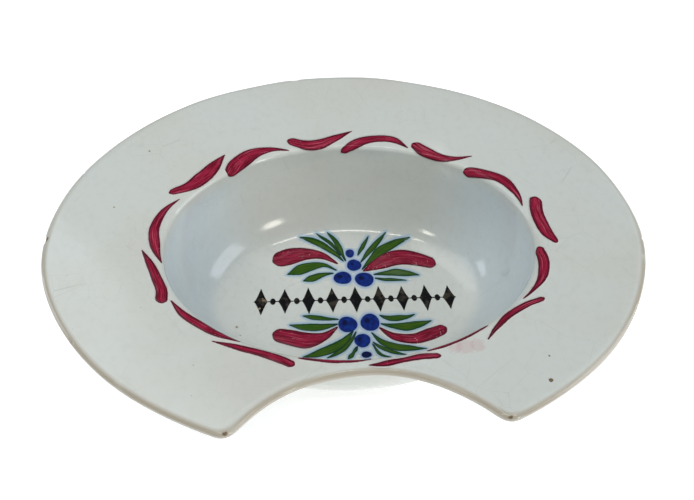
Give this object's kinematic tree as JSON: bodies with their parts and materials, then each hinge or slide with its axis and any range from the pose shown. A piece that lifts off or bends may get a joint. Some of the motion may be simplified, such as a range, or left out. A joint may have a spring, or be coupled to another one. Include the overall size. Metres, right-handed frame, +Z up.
{
  "type": "oval barber's shaving bowl",
  "caption": "Oval tin-glazed earthenware barber's bowl: wide rim, deep oval well, round neck notch in one long side, painted sprays and a stroke garland.",
  "frame": {"origin": "on the ground under the middle of the plan", "axes": "+X along the bowl's long side, -Y towards the neck notch, +Z up, out of the well"},
  "size_m": [0.32, 0.2388, 0.0739],
  "materials": {
    "buff_clay": "fired buff earthenware body, seen only where the glaze is chipped",
    "foot_clay": "bare fired foot ring, worn and slightly dirty on the sole",
    "tin_glaze": "glossy opaque pale grey-white tin glaze with fine crackle and pinholes",
    "crimson_enamel": "glossy brushed crimson enamel, darker where it pooled",
    "cobalt_enamel": "glossy cobalt blue enamel",
    "green_enamel": "glossy copper green enamel, olive in its thin parts",
    "black_enamel": "stencilled black enamel, thin and worn in places"
  },
  "bodies": {
    "root": {"berry_lower_left": "cobalt_enamel", "berry_lower_middle": "cobalt_enamel", "berry_lower_right": "cobalt_enamel", "berry_lower_tip": "cobalt_enamel", "berry_upper_left": "cobalt_enamel", "berry_upper_middle": "cobalt_enamel", "berry_upper_right": "cobalt_enamel", "berry_upper_tip": "cobalt_enamel", "blade_lower_left_1": "green_enamel", "blade_lower_left_2": "green_enamel", "blade_lower_left_3": "green_enamel", "blade_lower_right_1": "green_enamel", "blade_lower_right_2": "green_enamel", "blade_lower_right_3": "green_enamel", "blade_upper_left_1": "green_enamel", "blade_upper_left_2": "green_enamel", "blade_upper_left_3": "green_enamel", "blade_upper_right_1": "green_enamel", "blade_upper_right_2": "green_enamel", "blade_upper_right_3": "green_enamel", "clay_body": "buff_clay", "foot_ring": "foot_clay", "garland_stroke_01": "crimson_enamel", "garland_stroke_02": "crimson_enamel", "garland_stroke_03": "crimson_enamel", "garland_stroke_04": "crimson_enamel", "garland_stroke_05": "crimson_enamel", "garland_stroke_06": "crimson_enamel", "garland_stroke_07": "crimson_enamel", "garland_stroke_08": "crimson_enamel", "garland_stroke_09": "crimson_enamel", "garland_stroke_10": "crimson_enamel", "garland_stroke_11": "crimson_enamel", "garland_stroke_12": "crimson_enamel", "garland_stroke_13": "crimson_enamel", "garland_stroke_14": "crimson_enamel", "garland_stroke_15": "crimson_enamel", "garland_stroke_16": "crimson_enamel", "glaze_coat": "tin_glaze", "glaze_recess": "tin_glaze", "leaf_lower_left_inner": "green_enamel", "leaf_lower_left_outer": "green_enamel", "leaf_lower_right_inner": "green_enamel", "leaf_lower_right_outer": "green_enamel", "leaf_upper_left_inner": "green_enamel", "leaf_upper_left_outer": "green_enamel", "leaf_upper_right_inner": "green_enamel", "leaf_upper_right_outer": "green_enamel", "ornament_chain": "black_enamel", "petal_lower_left": "crimson_enamel", "petal_lower_right": "crimson_enamel", "petal_upper_left": "crimson_enamel", "petal_upper_right": "crimson_enamel"}
  },
  "joints": []
}
